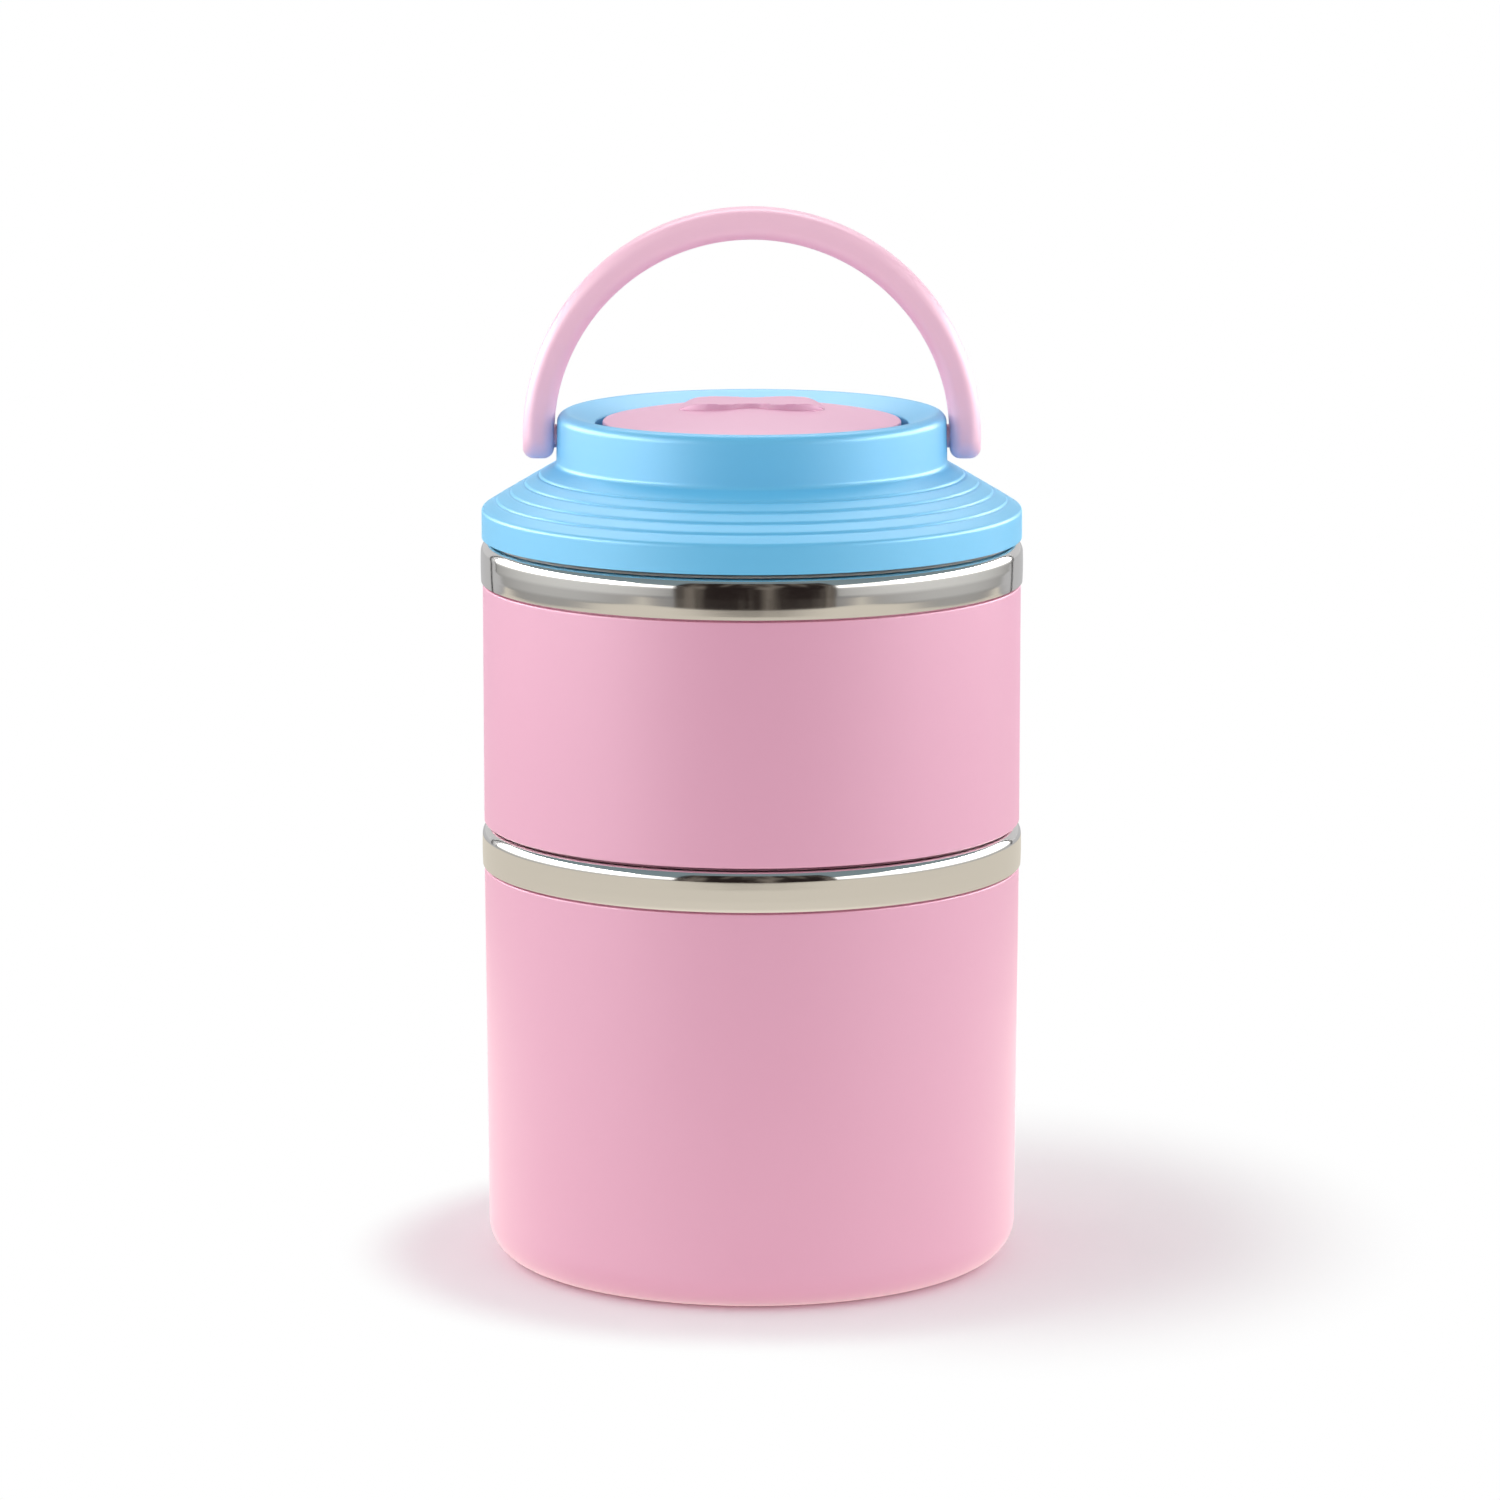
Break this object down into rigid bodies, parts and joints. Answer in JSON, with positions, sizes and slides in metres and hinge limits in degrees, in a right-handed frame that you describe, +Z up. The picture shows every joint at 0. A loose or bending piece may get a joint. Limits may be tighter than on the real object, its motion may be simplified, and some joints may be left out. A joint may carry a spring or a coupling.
{
  "type": "tiffin carrier",
  "caption": "Round insulated lunch carrier: steel-lined tiers that screw together, a screw lid with a pull-up vent disc, and a bail handle that folds flat.",
  "frame": {"origin": "middle of the foot, on the surface that the carrier stands on", "axes": "+Z up along the axis of the tiers, +X towards one trunnion of the bail"},
  "size_m": [0.135, 0.135, 0.2636],
  "materials": {
    "pink_plastic": "smooth moulded polypropylene, soft sheen",
    "blue_plastic": "smooth moulded polypropylene, soft sheen",
    "white_plastic": "moulded polypropylene, satin",
    "polished_steel": "polished stainless steel sheet",
    "silicone": "translucent white silicone"
  },
  "bodies": {
    "lower_tier": {"lower_shell": "pink_plastic", "lower_liner": "polished_steel"},
    "tier_seal_ring": {"upper_base_seal": "silicone"},
    "upper_tier": {"upper_shell": "pink_plastic", "upper_liner": "polished_steel", "upper_base_plug": "pink_plastic"},
    "lid_seal_ring": {"lid_seal": "silicone"},
    "lid": {"lid_cover": "blue_plastic", "lid_inner_plate": "white_plastic"},
    "vent": {"vent_cap": "pink_plastic", "vent_plug": "silicone"},
    "bail": {"bail_handle": "pink_plastic"}
  },
  "joints": [
    {"name": "tier_lift", "type": "slide", "parent": "lower_tier", "child": "tier_seal_ring", "axis": [0, 0, 1], "range_m": [0, 0.01601]},
    {"name": "tier_turn", "type": "hinge", "parent": "tier_seal_ring", "child": "upper_tier", "pos_m": [0, 0, 0.1102], "axis": [0, 0, 1], "range_deg": [0, 360]},
    {"name": "lid_lift", "type": "slide", "parent": "upper_tier", "child": "lid_seal_ring", "axis": [0, 0, 1], "range_m": [0, 0.01601]},
    {"name": "lid_turn", "type": "hinge", "parent": "lid_seal_ring", "child": "lid", "pos_m": [0, 0, 0.1814], "axis": [0, 0, 1], "range_deg": [0, 360]},
    {"name": "vent_lift", "type": "slide", "parent": "lid", "child": "vent", "axis": [0, 0, 1], "range_m": [0, 0.004]},
    {"name": "bail_swing", "type": "hinge", "parent": "lid", "child": "bail", "pos_m": [0, 0, 0.20694], "axis": [1, 0, 0], "range_deg": [-91, 91]}
  ],
  "couplings": [
    {"joint": "tier_lift", "follows": "tier_turn", "m_per_rad": 0.0025465},
    {"joint": "lid_lift", "follows": "lid_turn", "m_per_rad": 0.0025465}
  ]
}
